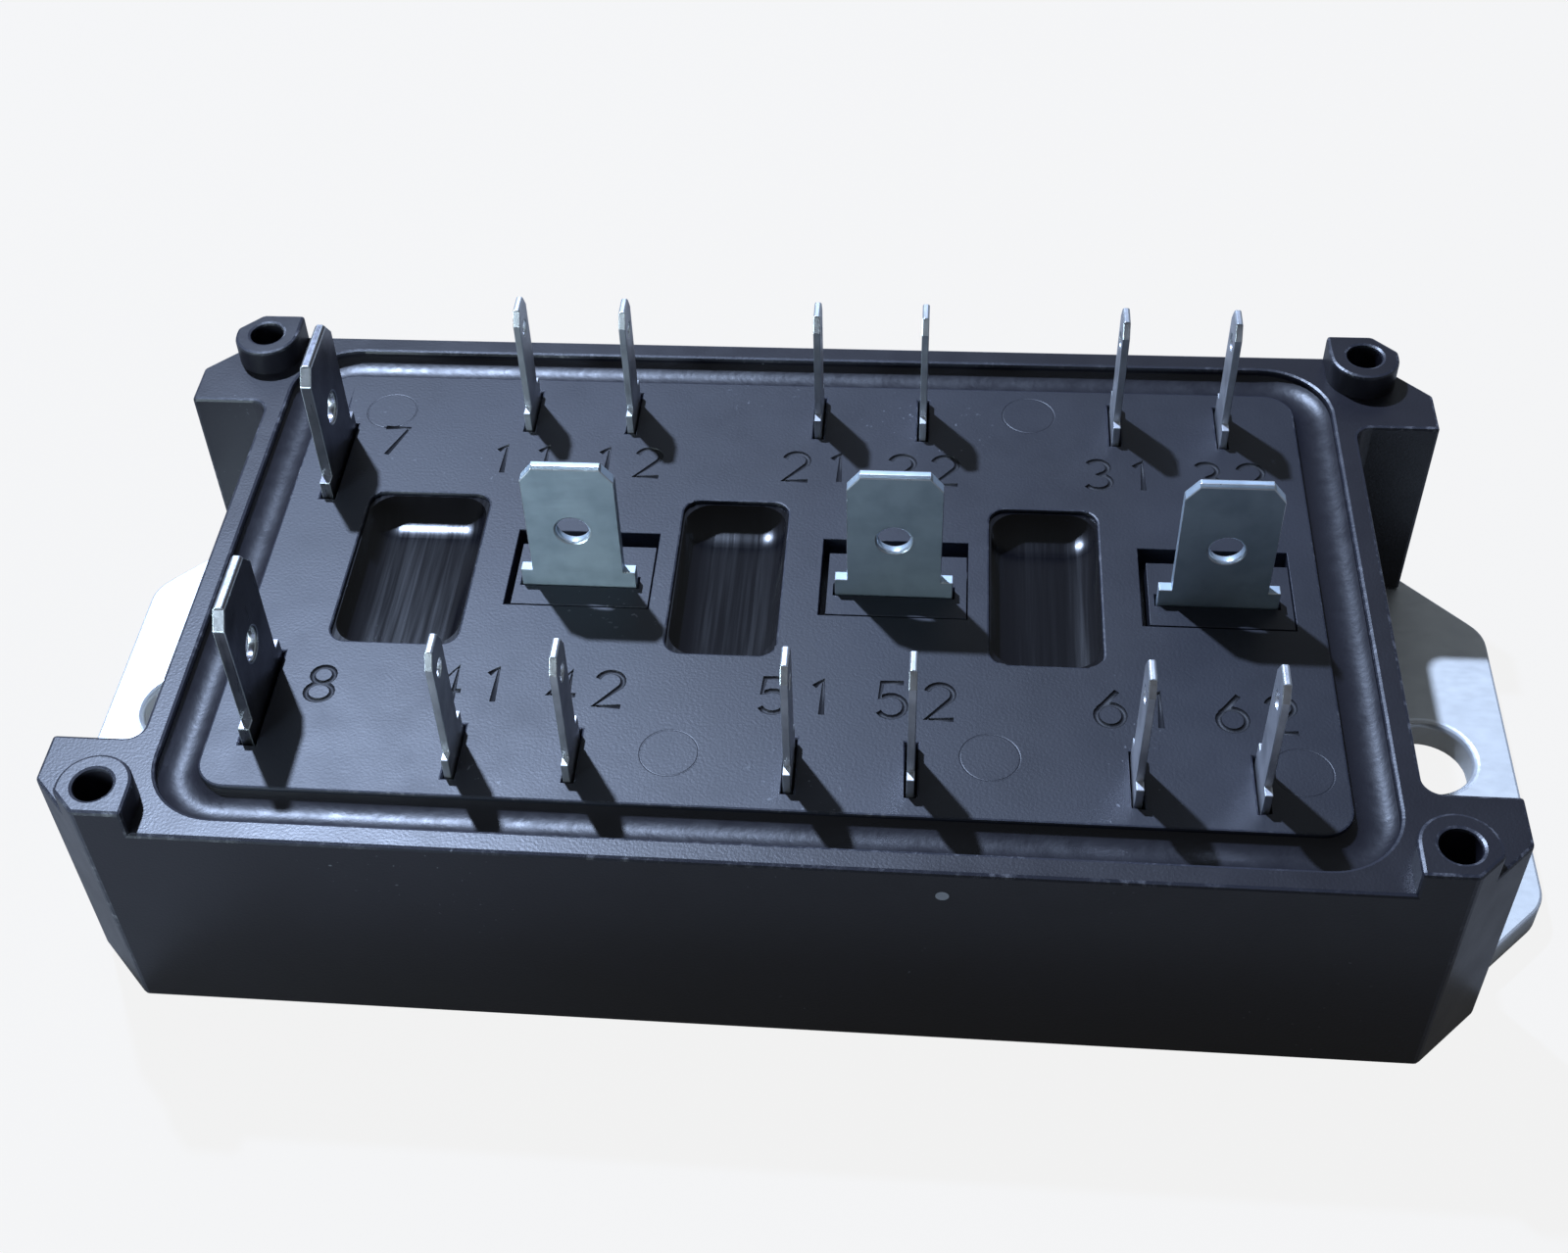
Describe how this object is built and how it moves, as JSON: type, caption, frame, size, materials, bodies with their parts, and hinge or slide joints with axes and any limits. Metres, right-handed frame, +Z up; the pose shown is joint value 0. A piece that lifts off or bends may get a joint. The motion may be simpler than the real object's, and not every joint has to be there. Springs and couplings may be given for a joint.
{
  "type": "igbt module",
  "caption": "Flat black power transistor module on a nickel-plated base plate, with blade terminals, signal pins and a lid set in cast resin.",
  "frame": {"origin": "middle of the base plate's underside", "axes": "+X along the module from the supply terminals towards the W output, +Y from the low-side pins towards the high-side pins, +Z up out of the lid"},
  "size_m": [0.105, 0.0496, 0.03],
  "materials": {
    "nickel": "satin nickel plate",
    "case_plastic": "fine grain, matte",
    "resin": "cast, glossy",
    "gel": "soft, clear",
    "tin": "satin tin plate",
    "ceramic": "matte white",
    "copper": "bare copper",
    "silicon": "polished silicon",
    "wire": "drawn wire"
  },
  "bodies": {
    "root": {"base_plate": "nickel", "case_frame": "case_plastic", "lid": "case_plastic", "potting_resin": "resin", "silicone_gel": "gel", "u_insert": "case_plastic", "v_insert": "case_plastic", "w_insert": "case_plastic", "plus_terminal": "tin", "minus_terminal": "tin", "u_terminal": "tin", "v_terminal": "tin", "w_terminal": "tin", "gate_pin_u_high": "tin", "emitter_pin_u_high": "tin", "gate_pin_v_high": "tin", "emitter_pin_v_high": "tin", "gate_pin_w_high": "tin", "emitter_pin_w_high": "tin", "gate_pin_u_low": "tin", "emitter_pin_u_low": "tin", "gate_pin_v_low": "tin", "emitter_pin_v_low": "tin", "gate_pin_w_low": "tin", "emitter_pin_w_low": "tin", "ceramic_tile_u": "ceramic", "ceramic_tile_v": "ceramic", "ceramic_tile_w": "ceramic", "copper_pattern_u": "copper", "copper_pattern_v": "copper", "copper_pattern_w": "copper", "igbt_chip_u_high": "silicon", "igbt_chip_v_high": "silicon", "igbt_chip_w_high": "silicon", "igbt_chip_u_low": "silicon", "igbt_chip_v_low": "silicon", "igbt_chip_w_low": "silicon", "diode_chip_u_high": "silicon", "diode_chip_v_high": "silicon", "diode_chip_w_high": "silicon", "diode_chip_u_low": "silicon", "diode_chip_v_low": "silicon", "diode_chip_w_low": "silicon", "bond_wires": "wire", "plus_straps": "copper", "minus_straps": "copper"}
  },
  "joints": []
}
